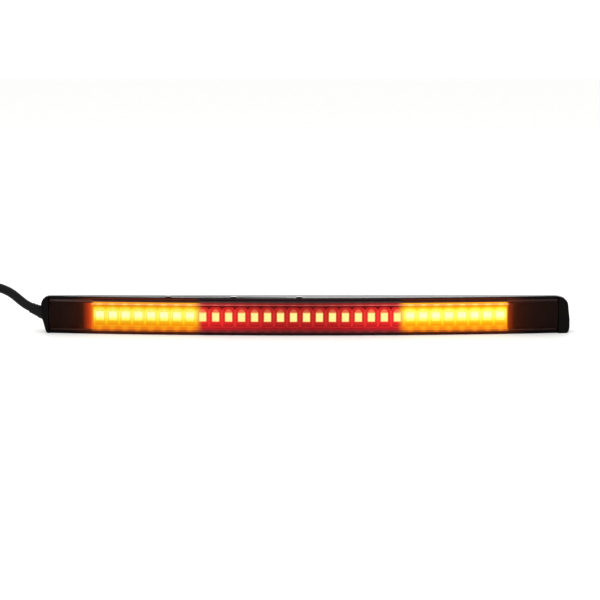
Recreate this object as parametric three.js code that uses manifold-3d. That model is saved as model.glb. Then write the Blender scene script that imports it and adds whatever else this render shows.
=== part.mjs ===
// Third brake light: a slim smoked LED light bar with a tail lead. Millimetres.
// +X runs along the bar, the lit side faces -Y, the adhesive back faces +Y, +Z is up.
// The origin is under the middle of the bar, on the surface it stands on.
import * as THREE from 'three';
import { mergeVertices } from 'three/addons/utils/BufferGeometryUtils.js';
import Module from 'manifold-3d';

const wasm = await Module();
wasm.setup();

// ---- Driving dimensions of the bar ----
const HALF_LENGTH = 101.75;
const HEIGHT = 14.5;
const END_DEPTH = 7.2; // housing depth at the two ends
const BULGE = 6.0; // how far the middle of the front stands ahead of its ends
const BULGE_HALF_CHORD = 99;
const TAPE_GAP = 0.1;
const TAPE_THICKNESS = 0.9;
const LINER_THICKNESS = 0.2;
const TAPE = { halfLength: 96, bottom: 2.1, top: 10.6, radius: 2 };
const LINER = { halfLength: 96.5, bottom: 1.9, top: 10.8, radius: 2 };

const BACK_STACK = TAPE_GAP + TAPE_THICKNESS + TAPE_GAP + LINER_THICKNESS;
const FRONT_MID_Y = -(END_DEPTH + BULGE + BACK_STACK) / 2;
const HOUSING_BACK_Y = FRONT_MID_Y + BULGE + END_DEPTH;
const FRONT_RADIUS = (BULGE_HALF_CHORD ** 2 + BULGE ** 2) / (2 * BULGE);

// ---- Housing ----
const WALL = 0.95;
const BACK_WALL = 1.3;
const LIP_DEPTH = 0.9; // the long walls stop this far behind the lens face
const WINDOW_LEFT = -98.9;
const WINDOW_RIGHT = 97.4;
const RECESS_HALF_LENGTH = 88.5;
const PLATE_RECESS_DEPTH = 1.9;
const BOARD_LEDGE_DEPTH = 4.65;
const REAR_CAVITY = { left: -98, right: 95.5, bottom: 2.0, top: 11.8 };
const TOP_FLAT_DEPTH = 2.65; // top face depth at the bar's ends
const BACK_TOP_Z = 11.1;
const BOTTOM_CHAMFER = { y: 3.2, z: 1.6 };
// Corners of the bar's outline, as distances in from its ends and heights.
const LEFT_FOOT = { in: 3.0, lean: 1.7, z: 1.0 };
const LEFT_SIDE = { in: 0.1, z: 6.0 };
const LEFT_SHOULDER = { in: 3.6, z: 10.4 };
const RIGHT_FOOT = { in: 1.6, z: 2.2 };
const RIGHT_SIDE = { z: 5.0 };
const RIGHT_SHOULDER = { in: 6.0, lean: 0.7, z: 11.0 };
const SHOULDER_PULL_Z = 12.8;

// ---- Lens ----
const LENS_GAP = 0.15;
const LENS_BOTTOM = WALL + LENS_GAP;
const LENS_TOP = HEIGHT - WALL - LENS_GAP;
const LENS_FACE_BOTTOM = 2.0;
const LENS_FACE_TOP = 12.55;
const LENS_PLATE = 1.5;
const SKIRT_DEPTH = 3.2;
const SKIRT_HALF_LENGTH = 88.2;
const TOP_SKIRT_Z = 12.4;
const BOTTOM_SKIRT_Z = 1.65;
const TAB_XS = [-52.4, -27.4, -2.4];
const TAB = { width: 2.1, front: 1.7, back: 2.5, proud: 0.35 };
const TAB_SLOT_GAP = 0.25;

// ---- Board stack, as depths behind the curved front ----
const DIVIDER = { front: 1.8, back: 3.4, bottom: 1.8, top: 11.6, left: -85.3, right: 79.7 };
const GASKET = { front: 3.35, back: 3.7, bottom: 1.2, top: 13.3, halfLength: 88 };
const GASKET_OPENING = { bottom: 1.75, top: 12.5, halfLength: 87 };
const BOARD = { front: 3.85, back: 4.55, bottom: 1.3, top: 13.2, halfLength: 88 };
const LED = { width: 2.8, height: 3.5, depth: 0.8, gap: 0.3 };
const LED_COUNT = 32;
const LED_PITCH = 4.97;
const LED_ROW_X = -2.1;
const LED_ROW_Z = 6.7;
const AMBER_PER_SIDE = 8;
const POCKET = { width: 4.3, height: 7.4, topRadius: 1.5, bottomRadius: 0.4 };
const PART_GAP = 0.3;
const RESISTOR = { width: 3.2, height: 1.6, depth: 0.6, xs: [-60, -20, 20, 60], z: 9.6 };
const DIODE = { width: 4.4, height: 2.6, depth: 2.1, xs: [-40, 0, 40], z: 6.4 };

// ---- Lead ----
const SHEATH_RADIUS = 1.75;
const CABLE_Y = 2.3;
const EXIT_Z = 7.6;
const EXIT_TILT = THREE.MathUtils.degToRad(24);
const BORE_RADIUS = 2.6;
const GROMMET = { inside: -2.4, step: 0.4, collar: 2.4, neck: 2.1, tip: 4.6, clearance: 0.15 };
const CORE_RADIUS = 0.45;
const CORE_SPREAD = 0.55;
const CORE_ENTRY = { x: -98.9, z: 6.4 };
const CORE_PAD_X = -84;
const CORE_PAD_ZS = [3.6, 5.8, 8.0, 10.2];
// The free stretch of the lead: out of the bar, over, and down to the hank.
const FREE_ROUTE = [
  [-99.3, 2.3, 6.5], [-101.7, 2.3, 7.6], [-104.0, 2.3, 8.6], [-106.2, 2.3, 9.7],
  [-108.4, 2.3, 11.0], [-110.5, 2.3, 12.7], [-112.9, 2.3, 14.7], [-115.7, 2.3, 16.3],
  [-118.8, 2.3, 17.3], [-122.0, 2.3, 17.6], [-125.2, 2.35, 17.2], [-128.2, 2.5, 16.1],
  [-131.0, 2.8, 14.5], [-133.3, 3.1, 12.4], [-135.1, 3.45, 10.4], [-137.0, 3.8, 8.4],
  [-139.1, 4.25, 6.5], [-141.6, 4.7, 4.7], [-144.5, 5.1, 3.4], [-147.6, 5.4, 2.75],
  [-150.9, 5.5, 2.65], [-153.7, 5.5, 2.65],
];
const ROUTE_STEPS = 24;
const ROUTE_SIDES = 8;

// ---- Hank: the rest of the lead, two turns one on the other, in line with the bar ----
const HANK = { nearX: -163, farX: -198, turn: 10.5, runY: 5.5, lowZ: 2.65, layer: 3.6 };
const HANK_Y = HANK.runY - HANK.turn;
const HANK_REACH = SHEATH_RADIUS + 0.1;
const HANK_BOTTOM = HANK.lowZ - SHEATH_RADIUS;
const HANK_TOP = HANK.lowZ + HANK.layer + SHEATH_RADIUS + 0.05;
const HANK_RISE_X = -178; // from here the front run climbs by one layer
const LEAD_IN = { end: -154.0, top: 4.45 };
const TIE = { band: 0.6, width: 3, gap: 0.2, bottom: 0.05, corner: 1.6 };
const SLEEVE = { start: -164.4, end: -173, radius: 1.95, z: 10.35 };
const END_TIE = { x: -168.5, top: SLEEVE.z + SLEEVE.radius };
const MIDDLE_TIE = { x: -185, top: HANK_TOP };
const WIRE = { radius: 0.6, start: -173.3, end: -195 };
const WIRES = [
  { name: 'lead_ground', y: -0.75, z: 9.2, tipY: -2.6, colour: 0x15171a },
  { name: 'lead_brake', y: 0.75, z: 9.2, tipY: 2.2, colour: 0xb01c1c },
  { name: 'lead_left', y: -0.75, z: 10.7, tipY: -1.0, colour: 0xd9b21a },
  { name: 'lead_right', y: 0.75, z: 10.7, tipY: 0.8, colour: 0x2c7a3e },
];

// ---- Materials ----
function material(color, roughness, metalness = 0) {
  return new THREE.MeshStandardMaterial({ color, roughness, metalness });
}
const blackHousing = material(0x151515, 0.55);
const smokedPolycarbonate = material(0x1b100e, 0.08);
const blackRubber = material(0x101010, 0.8);
const redReflector = material(0xc01812, 0.5);
const boardBlack = material(0x17110f, 0.45);
const ledRed = material(0xffd890, 0.3);
const ledAmber = material(0xfff6b0, 0.3);
const componentBlack = material(0x1c1c1e, 0.45);
const blackPvc = material(0x0f0f10, 0.5);
const greyFoam = material(0x4a4c50, 0.9);
const redFilm = material(0xb0201c, 0.35);
const tieNylon = material(0x17181a, 0.5);

// ---- Geometry helpers ----
function toSolid(geometry) {
  const bare = geometry.clone();
  bare.deleteAttribute('normal');
  bare.deleteAttribute('uv');
  const merged = mergeVertices(bare, 1e-5);
  const mesh = new wasm.Mesh({
    numProp: 3,
    vertProperties: new Float32Array(merged.attributes.position.array),
    triVerts: new Uint32Array(merged.index.array),
  });
  return new wasm.Manifold(mesh);
}

function toGeometry(solid) {
  const mesh = solid.getMesh();
  const geometry = new THREE.BufferGeometry();
  geometry.setAttribute('position', new THREE.BufferAttribute(mesh.vertProperties, 3));
  geometry.setIndex(new THREE.BufferAttribute(mesh.triVerts, 1));
  geometry.computeVertexNormals();
  return geometry;
}

function frontAngle(x, depth = 0) {
  return Math.asin(x / (FRONT_RADIUS - depth));
}

// A point `depth` behind the curved front at this x, with the front's local turn.
function behindFront(x, depth) {
  const angle = frontAngle(x, depth);
  const y = FRONT_MID_Y + FRONT_RADIUS - (FRONT_RADIUS - depth) * Math.cos(angle);
  return { x, y, angle };
}

class FrontCurve extends THREE.Curve {
  constructor(left, right) {
    super();
    this.start = frontAngle(left);
    this.end = frontAngle(right);
  }

  getPoint(t, target = new THREE.Vector3()) {
    const angle = THREE.MathUtils.lerp(this.start, this.end, t);
    const y = FRONT_MID_Y + FRONT_RADIUS * (1 - Math.cos(angle));
    return target.set(FRONT_RADIUS * Math.sin(angle), y, 0);
  }
}

// Sweeps a section of [depth, z] points along the curved front from left to right.
function sweepFront(section, left, right, steps = 20) {
  const shape = new THREE.Shape(section.map(([depth, z]) => new THREE.Vector2(-z, depth)));
  const extrudePath = new FrontCurve(left, right);
  return toSolid(new THREE.ExtrudeGeometry(shape, { steps, extrudePath }));
}

function frontBand(front, back, bottom, top, left, right, steps = 20) {
  const section = [[front, bottom], [back, bottom], [back, top], [front, top]];
  return sweepFront(section, left, right, steps);
}

function box(left, right, front, back, bottom, top) {
  const geometry = new THREE.BoxGeometry(right - left, back - front, top - bottom);
  geometry.translate((left + right) / 2, (front + back) / 2, (bottom + top) / 2);
  return toSolid(geometry);
}

// Extrudes a shape drawn in X and Z from the front y to the back y.
function extrudeBack(shape, front, back, curveSegments = 5) {
  const geometry = new THREE.ExtrudeGeometry(shape, {
    depth: back - front, bevelEnabled: false, curveSegments,
  });
  geometry.rotateX(Math.PI / 2);
  geometry.translate(0, back, 0);
  return toSolid(geometry);
}

// Extrudes a shape drawn in Y and Z along X.
function extrudeAlong(shape, left, right, curveSegments = 4) {
  const geometry = new THREE.ExtrudeGeometry(shape, {
    depth: right - left, bevelEnabled: false, curveSegments,
  });
  geometry.rotateZ(Math.PI / 2);
  geometry.rotateY(Math.PI / 2);
  geometry.translate(left, 0, 0);
  return toSolid(geometry);
}

function polygon(points) {
  return new THREE.Shape(points.map(([u, v]) => new THREE.Vector2(u, v)));
}

function tubeAlong(curve, radius, sides, steps) {
  const section = new THREE.Shape();
  for (let i = 0; i < sides; i += 1) {
    const angle = (2 * Math.PI * i) / sides;
    const u = radius * Math.cos(angle);
    const v = radius * Math.sin(angle);
    if (i === 0) section.moveTo(u, v);
    else section.lineTo(u, v);
  }
  return new THREE.ExtrudeGeometry(section, { steps, extrudePath: curve });
}

const assembly = new THREE.Group();

function addMesh(name, geometry, meshMaterial) {
  const mesh = new THREE.Mesh(geometry, meshMaterial);
  mesh.name = name;
  assembly.add(mesh);
  return mesh;
}

function addSolid(name, solid, meshMaterial) {
  return addMesh(name, toGeometry(solid), meshMaterial);
}

// ---- Rear housing ----
// The bar seen from the front: a rounded left shoulder over a slanting foot, and a
// right end with a long shoulder and a small foot radius.
function housingOutline() {
  const left = -HALF_LENGTH;
  const right = HALF_LENGTH;
  const shape = new THREE.Shape();
  const rightLean = right - RIGHT_SHOULDER.lean;
  shape.moveTo(left + LEFT_FOOT.in, 0);
  shape.lineTo(right - RIGHT_FOOT.in, 0);
  shape.quadraticCurveTo(right - 0.2, 0, right, RIGHT_FOOT.z);
  shape.lineTo(right, RIGHT_SIDE.z);
  shape.lineTo(rightLean, RIGHT_SHOULDER.z);
  shape.bezierCurveTo(
    rightLean - 0.2, SHOULDER_PULL_Z, right - 2.6, HEIGHT, right - RIGHT_SHOULDER.in, HEIGHT,
  );
  shape.lineTo(left + LEFT_SHOULDER.in, HEIGHT);
  shape.bezierCurveTo(left + 1.4, HEIGHT, left, SHOULDER_PULL_Z, left, LEFT_SHOULDER.z);
  shape.lineTo(left + LEFT_SIDE.in, LEFT_SIDE.z);
  shape.lineTo(left + LEFT_FOOT.lean, LEFT_FOOT.z);
  shape.quadraticCurveTo(left + 2.0, 0.1, left + LEFT_FOOT.in, 0);
  return shape;
}

function rearChamfers() {
  const topFlatEnd = FRONT_MID_Y + BULGE + TOP_FLAT_DEPTH;
  const above = HEIGHT + 5;
  const behind = HOUSING_BACK_Y + 5;
  const topSlope = (HEIGHT - BACK_TOP_Z) / (HOUSING_BACK_Y - topFlatEnd);
  const topCut = polygon([
    [topFlatEnd, HEIGHT], [behind, HEIGHT - topSlope * (behind - topFlatEnd)],
    [behind, above], [topFlatEnd, above],
  ]);
  const bottomSlope = BOTTOM_CHAMFER.z / (HOUSING_BACK_Y - BOTTOM_CHAMFER.y);
  const bottomCut = polygon([
    [BOTTOM_CHAMFER.y, 0], [BOTTOM_CHAMFER.y, -5], [behind, -5],
    [behind, bottomSlope * (behind - BOTTOM_CHAMFER.y)],
  ]);
  const reach = HALF_LENGTH + 5;
  return extrudeAlong(topCut, -reach, reach).add(extrudeAlong(bottomCut, -reach, reach));
}

function exitBore() {
  const geometry = new THREE.CylinderGeometry(BORE_RADIUS, BORE_RADIUS, 16, 20);
  geometry.rotateZ(Math.PI / 2);
  geometry.rotateY(EXIT_TILT);
  geometry.translate(-HALF_LENGTH, CABLE_Y, EXIT_Z);
  const inWall = box(-HALF_LENGTH - 9, WINDOW_LEFT + 1.5, -20, 20, 0, HEIGHT);
  return toSolid(geometry).intersect(inWall);
}

function tabBox(x, grow, bottom, top) {
  const at = behindFront(x, 0);
  const half = TAB.width / 2 + grow;
  const front = at.y + TAB.front - grow;
  const back = at.y + TAB.back + grow;
  return box(x - half, x + half, front, back, bottom, top);
}

function rearHousing() {
  const ceiling = HEIGHT - WALL;
  let body = extrudeBack(housingOutline(), FRONT_MID_Y - 2, HOUSING_BACK_Y, 6);
  body = body.intersect(frontBand(0, 30, -5, 25, -110, 110, 22));
  body = body.subtract(frontBand(-3, LIP_DEPTH, -5, 25, WINDOW_LEFT, WINDOW_RIGHT));
  const recess = [-1, PLATE_RECESS_DEPTH, WALL, ceiling, WINDOW_LEFT, WINDOW_RIGHT];
  body = body.subtract(frontBand(...recess));
  const ledge = [-1, BOARD_LEDGE_DEPTH, WALL, ceiling];
  body = body.subtract(frontBand(...ledge, -RECESS_HALF_LENGTH, RECESS_HALF_LENGTH));
  const { left, right, bottom, top } = REAR_CAVITY;
  const cavityFront = FRONT_MID_Y - 1;
  const cavityBack = HOUSING_BACK_Y - BACK_WALL;
  body = body.subtract(box(left, right, cavityFront, cavityBack, bottom, top));
  body = body.subtract(rearChamfers());
  body = body.subtract(exitBore());
  for (const x of TAB_XS) {
    body = body.subtract(tabBox(x, TAB_SLOT_GAP, ceiling - 0.5, HEIGHT + 1));
  }
  return body;
}
addSolid('rear_housing', rearHousing(), blackHousing);

// ---- Smoked lens: bevelled plate, a skirt on each long edge, snap tabs on top ----
function smokedLens() {
  const plate = [
    [0, LENS_FACE_BOTTOM], [LIP_DEPTH, LENS_BOTTOM], [LENS_PLATE, LENS_BOTTOM],
    [LENS_PLATE, LENS_TOP], [LIP_DEPTH, LENS_TOP], [0, LENS_FACE_TOP],
  ];
  const ends = [-SKIRT_HALF_LENGTH, SKIRT_HALF_LENGTH];
  let lens = sweepFront(plate, WINDOW_LEFT + 0.3, WINDOW_RIGHT - 0.3);
  lens = lens.add(frontBand(LENS_PLATE - 0.2, SKIRT_DEPTH, TOP_SKIRT_Z, LENS_TOP, ...ends));
  lens = lens.add(frontBand(LENS_PLATE - 0.2, SKIRT_DEPTH, LENS_BOTTOM, BOTTOM_SKIRT_Z, ...ends));
  for (const x of TAB_XS) {
    lens = lens.add(tabBox(x, 0, LENS_TOP - 0.4, HEIGHT + TAB.proud));
  }
  return lens;
}
addSolid('smoked_lens', smokedLens(), smokedPolycarbonate);

// ---- Gasket frame between the lens skirt and the board ----
function lensGasket() {
  const { front, back, bottom, top, halfLength } = GASKET;
  const opening = GASKET_OPENING;
  const frame = frontBand(front, back, bottom, top, -halfLength, halfLength);
  const hole = frontBand(
    front - 1, back + 1, opening.bottom, opening.top, -opening.halfLength, opening.halfLength,
  );
  return frame.subtract(hole);
}
addSolid('lens_gasket', lensGasket(), blackRubber);

// ---- LED positions ----
function ledX(index) {
  return LED_ROW_X + (index - (LED_COUNT - 1) / 2) * LED_PITCH;
}

// ---- Divider: one round-topped pocket for each LED ----
function pocketShape(x) {
  const { width, height, topRadius, bottomRadius } = POCKET;
  const left = x - width / 2;
  const right = x + width / 2;
  const bottom = LED_ROW_Z - height / 2;
  const top = LED_ROW_Z + height / 2;
  const shape = new THREE.Shape();
  shape.moveTo(left + bottomRadius, bottom);
  shape.lineTo(right - bottomRadius, bottom);
  shape.lineTo(right, bottom + bottomRadius);
  shape.lineTo(right, top - topRadius);
  shape.quadraticCurveTo(right, top, right - topRadius, top);
  shape.lineTo(left + topRadius, top);
  shape.quadraticCurveTo(left, top, left, top - topRadius);
  shape.lineTo(left, bottom + bottomRadius);
  return shape;
}

function ledDivider() {
  const { front, back, bottom, top, left, right } = DIVIDER;
  let plate = frontBand(front, back, bottom, top, left, right);
  for (let i = 0; i < LED_COUNT; i += 1) {
    const at = behindFront(ledX(i), front);
    plate = plate.subtract(extrudeBack(pocketShape(at.x), at.y - 2, at.y + 4, 3));
  }
  return plate;
}
addSolid('led_divider', ledDivider(), redReflector);

// ---- Circuit board ----
const boardBand = frontBand(
  BOARD.front, BOARD.back, BOARD.bottom, BOARD.top, -BOARD.halfLength, BOARD.halfLength,
);
addSolid('circuit_board', boardBand, boardBlack);

// A box standing square to the curved front, its middle at this depth behind it.
function addCurvedBox(name, size, x, depth, z, meshMaterial) {
  const at = behindFront(x, depth);
  const geometry = new THREE.BoxGeometry(size.width, size.depth, size.height);
  const mesh = addMesh(name, geometry, meshMaterial);
  mesh.position.set(at.x, at.y, z);
  mesh.rotation.z = at.angle;
}

// ---- LEDs: 8 amber, 16 red, 8 amber ----
function ledName(index) {
  const lastRed = LED_COUNT - AMBER_PER_SIDE;
  if (index < AMBER_PER_SIDE) return `amber_led_left_${index + 1}`;
  if (index < lastRed) return `red_led_${String(index - AMBER_PER_SIDE + 1).padStart(2, '0')}`;
  return `amber_led_right_${index - lastRed + 1}`;
}

for (let i = 0; i < LED_COUNT; i += 1) {
  const name = ledName(i);
  const depth = BOARD.front - LED.gap - LED.depth / 2;
  const glow = name.startsWith('red') ? ledRed : ledAmber;
  addCurvedBox(name, LED, ledX(i), depth, LED_ROW_Z, glow);
}

// ---- Components on the rear of the board ----
RESISTOR.xs.forEach((x, i) => {
  const depth = BOARD.back + PART_GAP + RESISTOR.depth / 2;
  addCurvedBox(`resistor_${i + 1}`, RESISTOR, x, depth, RESISTOR.z, componentBlack);
});
DIODE.xs.forEach((x, i) => {
  const depth = BOARD.back + PART_GAP + DIODE.depth / 2;
  addCurvedBox(`diode_${i + 1}`, DIODE, x, depth, DIODE.z, componentBlack);
});

// ---- Cores from the sheath to the board's pads ----
['ground', 'brake', 'left', 'right'].forEach((feed, i) => {
  const side = i % 2 === 0 ? -1 : 1;
  const level = i < 2 ? -1 : 1;
  const startY = CABLE_Y + side * CORE_SPREAD;
  const startZ = CORE_ENTRY.z + level * CORE_SPREAD;
  const padY = behindFront(CORE_PAD_X, BOARD.back + PART_GAP + CORE_RADIUS).y;
  const padZ = CORE_PAD_ZS[i];
  const reach = CORE_PAD_X - CORE_ENTRY.x;
  const curve = new THREE.CatmullRomCurve3([
    new THREE.Vector3(CORE_ENTRY.x, startY, startZ),
    new THREE.Vector3(CORE_ENTRY.x + reach * 0.25, startY + 0.1, startZ),
    new THREE.Vector3(CORE_ENTRY.x + reach * 0.65, (startY + padY) / 2 + 0.3, padZ),
    new THREE.Vector3(CORE_PAD_X, padY, padZ),
  ]);
  const wirePvc = material(WIRES[i].colour, 0.5);
  addMesh(`core_wire_${feed}`, tubeAlong(curve, CORE_RADIUS, 6, 8), wirePvc);
});

// ---- Cable grommet: a tapered strain relief round the sheath ----
function cableGrommet() {
  const { inside, step, collar, neck, tip, clearance } = GROMMET;
  const bore = SHEATH_RADIUS + clearance;
  const inWall = BORE_RADIUS - clearance;
  const profile = [
    [bore, inside], [inWall, inside], [inWall, step], [collar, step + 0.5],
    [neck, tip - 0.2], [bore, tip], [bore, inside],
  ];
  const points = profile.map(([radius, along]) => new THREE.Vector2(radius, along));
  return new THREE.LatheGeometry(points, 20);
}
const grommet = addMesh('cable_grommet', cableGrommet(), blackRubber);
grommet.position.set(-HALF_LENGTH, CABLE_Y, EXIT_Z);
grommet.rotation.set(0, EXIT_TILT, Math.PI / 2);

// ---- Lead: the free stretch ----
const route = new THREE.CatmullRomCurve3(
  FREE_ROUTE.map((point) => new THREE.Vector3(...point)), false, 'centripetal',
);
addMesh('cable_sheath', tubeAlong(route, SHEATH_RADIUS, ROUTE_SIDES, ROUTE_STEPS), blackPvc);

// ---- Hank: a ring with straight sides, one layer higher round its near fold ----
function raceTrack(radius) {
  const shape = new THREE.Shape();
  shape.moveTo(HANK.farX, HANK_Y - radius);
  shape.lineTo(HANK.nearX, HANK_Y - radius);
  shape.absarc(HANK.nearX, HANK_Y, radius, -Math.PI / 2, Math.PI / 2, false);
  shape.lineTo(HANK.farX, HANK_Y + radius);
  shape.absarc(HANK.farX, HANK_Y, radius, Math.PI / 2, Math.PI * 1.5, false);
  return shape;
}

function trackRing(bottom, top) {
  const shape = raceTrack(HANK.turn + HANK_REACH);
  shape.holes.push(raceTrack(HANK.turn - HANK_REACH));
  const geometry = new THREE.ExtrudeGeometry(shape, {
    depth: top - bottom, bevelEnabled: false, curveSegments: 10,
  });
  geometry.translate(0, 0, bottom);
  return toSolid(geometry);
}

function cableHank() {
  const { nearX, runY, layer } = HANK;
  const twoTurns = trackRing(HANK_BOTTOM, HANK_TOP);
  const leadIn = box(
    nearX - 1, LEAD_IN.end, runY - HANK_REACH, runY + HANK_REACH, HANK_BOTTOM, LEAD_IN.top,
  );
  const frontSide = box(HANK_RISE_X, nearX + 30, HANK_Y - 30, HANK_Y, 0, 30);
  const nearFold = box(nearX - 1, nearX + 30, HANK_Y - 1, HANK_Y + 30, 0, 30);
  const climb = trackRing(HANK_TOP - 0.5, HANK_TOP + layer);
  return twoTurns.add(leadIn).add(climb.intersect(frontSide.add(nearFold)));
}
addSolid('cable_hank', cableHank(), blackPvc);

// ---- Ties: closed bands round the stacked runs ----
function roundedRect(left, right, bottom, top, radius) {
  const shape = new THREE.Shape();
  shape.moveTo(left + radius, bottom);
  shape.lineTo(right - radius, bottom);
  shape.quadraticCurveTo(right, bottom, right, bottom + radius);
  shape.lineTo(right, top - radius);
  shape.quadraticCurveTo(right, top, right - radius, top);
  shape.lineTo(left + radius, top);
  shape.quadraticCurveTo(left, top, left, top - radius);
  shape.lineTo(left, bottom + radius);
  shape.quadraticCurveTo(left, bottom, left + radius, bottom);
  return shape;
}

// A tie round one run of the hank, seen along X, from the surface to `top`.
function hankTie(runY, { x, top }) {
  const { band, width, gap, bottom, corner } = TIE;
  const front = runY - HANK_REACH - gap;
  const back = runY + HANK_REACH + gap;
  const inTop = top + gap;
  const outer = roundedRect(front - band, back + band, bottom, inTop + band, corner);
  outer.holes.push(roundedRect(front, back, bottom + band, inTop, 0.4));
  return extrudeAlong(outer, x - width / 2, x + width / 2, 3);
}
addSolid('hank_tie_1', hankTie(HANK.runY, END_TIE), tieNylon);
addSolid('hank_tie_2', hankTie(HANK_Y - HANK.turn, MIDDLE_TIE), tieNylon);

// ---- Heat-shrink sleeve and the four bare-ended leads ----
const sleeve = new THREE.CylinderGeometry(
  SLEEVE.radius, SLEEVE.radius - 0.3, SLEEVE.start - SLEEVE.end, 12,
);
sleeve.rotateZ(-Math.PI / 2);
sleeve.translate((SLEEVE.start + SLEEVE.end) / 2, HANK.runY, SLEEVE.z);
addMesh('heat_shrink', sleeve, blackRubber);

for (const wire of WIRES) {
  const length = WIRE.start - WIRE.end;
  const y = HANK.runY + wire.y;
  const curve = new THREE.CatmullRomCurve3([
    new THREE.Vector3(WIRE.start, y, wire.z),
    new THREE.Vector3(WIRE.start - length * 0.4, y, wire.z),
    new THREE.Vector3(WIRE.end, HANK.runY + wire.tipY, wire.z),
  ]);
  addMesh(wire.name, tubeAlong(curve, WIRE.radius, 6, 5), material(wire.colour, 0.5));
}

// ---- Adhesive tape and its peel-off film ----
function backStrip({ halfLength, bottom, top, radius }, near, thickness) {
  const shape = roundedRect(-halfLength, halfLength, bottom, top, radius);
  return extrudeBack(shape, near, near + thickness, 3);
}
const tapeFront = HOUSING_BACK_Y + TAPE_GAP;
const linerFront = tapeFront + TAPE_THICKNESS + TAPE_GAP;
addSolid('foam_tape', backStrip(TAPE, tapeFront, TAPE_THICKNESS), greyFoam);
addSolid('tape_liner', backStrip(LINER, linerFront, LINER_THICKNESS), redFilm);

export default assembly;
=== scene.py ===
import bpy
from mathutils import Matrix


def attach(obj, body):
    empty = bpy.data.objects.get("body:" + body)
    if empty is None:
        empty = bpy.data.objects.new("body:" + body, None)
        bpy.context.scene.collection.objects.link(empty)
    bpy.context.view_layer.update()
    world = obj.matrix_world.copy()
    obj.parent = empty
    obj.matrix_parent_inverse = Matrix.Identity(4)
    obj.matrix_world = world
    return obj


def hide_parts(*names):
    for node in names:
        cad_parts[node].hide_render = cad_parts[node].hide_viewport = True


bl_info = {
    "name": "Third Brake Light Bar",
    "version": (1, 0, 0),
    "blender": (4, 5, 0),
    "location": "3D View > Sidebar > Light Bar",
    "description": "A slim smoked light bar with its lamps, adhesive back and tied tail lead",
    "category": "Object",
}

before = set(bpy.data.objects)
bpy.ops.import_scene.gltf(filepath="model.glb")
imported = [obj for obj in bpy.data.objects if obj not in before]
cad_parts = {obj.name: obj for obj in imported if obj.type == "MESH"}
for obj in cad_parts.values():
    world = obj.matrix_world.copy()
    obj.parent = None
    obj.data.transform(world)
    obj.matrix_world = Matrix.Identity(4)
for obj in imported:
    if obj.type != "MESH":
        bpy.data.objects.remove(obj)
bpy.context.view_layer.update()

import math

import bmesh
import bpy
from bpy.props import FloatProperty, FloatVectorProperty, PointerProperty
from bpy.types import Operator, Panel, PropertyGroup
from mathutils import Matrix, Vector

# Shapes are modelled in millimetres and turned to metres when a piece is finished.
# +X runs along the bar, the lit side faces -Y, the adhesive back faces +Y, +Z is up.
MM = 0.001

# ---- The bar ----
FRONT_MID_Y = -7.25
FRONT_RADIUS = (99.0 ** 2 + 6.0 ** 2) / 12.0
LIP_DEPTH = 0.9
HOUSING_BACK_Y = 5.95
WINDOW_LEFT = -98.9
WINDOW_RIGHT = 97.4
LENS_LEFT = -98.6
LENS_RIGHT = 97.1
LENS_BOTTOM = 1.1
LENS_TOP = 13.4
LENS_FACE_BOTTOM = 2.0
LENS_FACE_TOP = 12.55
LENS_BACK = 1.5
SKIRT_BACK = 3.2
SKIRT_END = 88.2
SKIRT_TOP_Z = 12.4
SKIRT_BOTTOM_Z = 1.65
DARK_BEYOND = (-86.5, 81.0)  # past these the lens is masked at its back
TAB_XS = (-52.4, -27.4, -2.4)
TAB = {"half": 1.05, "front": 1.7, "back": 2.5, "top": 14.85}
PLATE = {"front": 1.8, "back": 3.4, "bottom": 1.8, "top": 11.6, "left": -85.3, "right": 79.7}
POCKET = {"half": 2.15, "bottom": 3.0, "top": 10.4, "round": 1.3}
GASKET = {
    "front": 3.35, "back": 3.7, "bottom": 1.2, "top": 13.3, "end": 88.0,
    "side": 0.7, "sill": 0.55, "head": 0.8,
}
BOARD = {"front": 3.85, "back": 4.55, "bottom": 1.3, "top": 13.2, "end": 88.0}
LAMP = {"width": 2.8, "height": 3.5, "front": 2.75, "back": 3.55}
LAMP_COUNT = 32
AMBER_PER_SIDE = 8
LAMP_PITCH = 4.97
ROW_REACH = LAMP_COUNT * LAMP_PITCH / 2
AMBER_FROM = AMBER_PER_SIDE * LAMP_PITCH  # millimetres from the row's middle
ROW_X = -2.1
ROW_Z = 6.7
PART_FRONT = 4.85  # depth at which the parts on the board's rear begin
# Each kind: name, places, width, height, depth, length of the plated ends, height of the row.
CHIPS = (
    ("resistor", (-60, -20, 20, 60), 3.2, 1.6, 0.6, 0.5, 9.6),
    ("diode", (-40, 0, 40), 4.4, 2.6, 2.1, 0.35, 6.4),
)
CORNER_RADIUS = 2.0  # of the tape and its film
TAPE = {"end": 96.0, "bottom": 2.1, "top": 10.6, "front": 6.05, "back": 6.95}
LINER = {"end": 96.5, "bottom": 1.9, "top": 10.8, "front": 7.05, "back": 7.25}

# ---- The tail lead ----
EXIT = (-101.75, 2.3, 7.6)
EXIT_TILT = math.radians(24)
FREE_ROUTE = (
    (-99.3, 2.3, 6.5), (-101.7, 2.3, 7.6), (-104.0, 2.3, 8.6), (-106.2, 2.3, 9.7),
    (-108.4, 2.3, 11.0), (-110.5, 2.3, 12.7), (-112.9, 2.3, 14.7), (-115.7, 2.3, 16.3),
    (-118.8, 2.3, 17.3), (-122.0, 2.3, 17.6), (-125.2, 2.35, 17.2), (-128.2, 2.5, 16.1),
    (-131.0, 2.8, 14.5), (-133.3, 3.1, 12.4), (-135.1, 3.45, 10.4), (-137.0, 3.8, 8.4),
    (-139.1, 4.25, 6.5), (-141.6, 4.7, 4.7), (-144.5, 5.1, 3.4), (-147.6, 5.4, 2.75),
    (-150.9, 5.5, 2.65), (-153.7, 5.5, 2.65), (-156.8, 5.5, 2.65), (-159.9, 5.5, 2.65),
)
HANK = {"near": -163.0, "far": -198.0, "turn": 10.5, "run_y": 5.5, "low": 2.65, "layer": 3.6}
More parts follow.
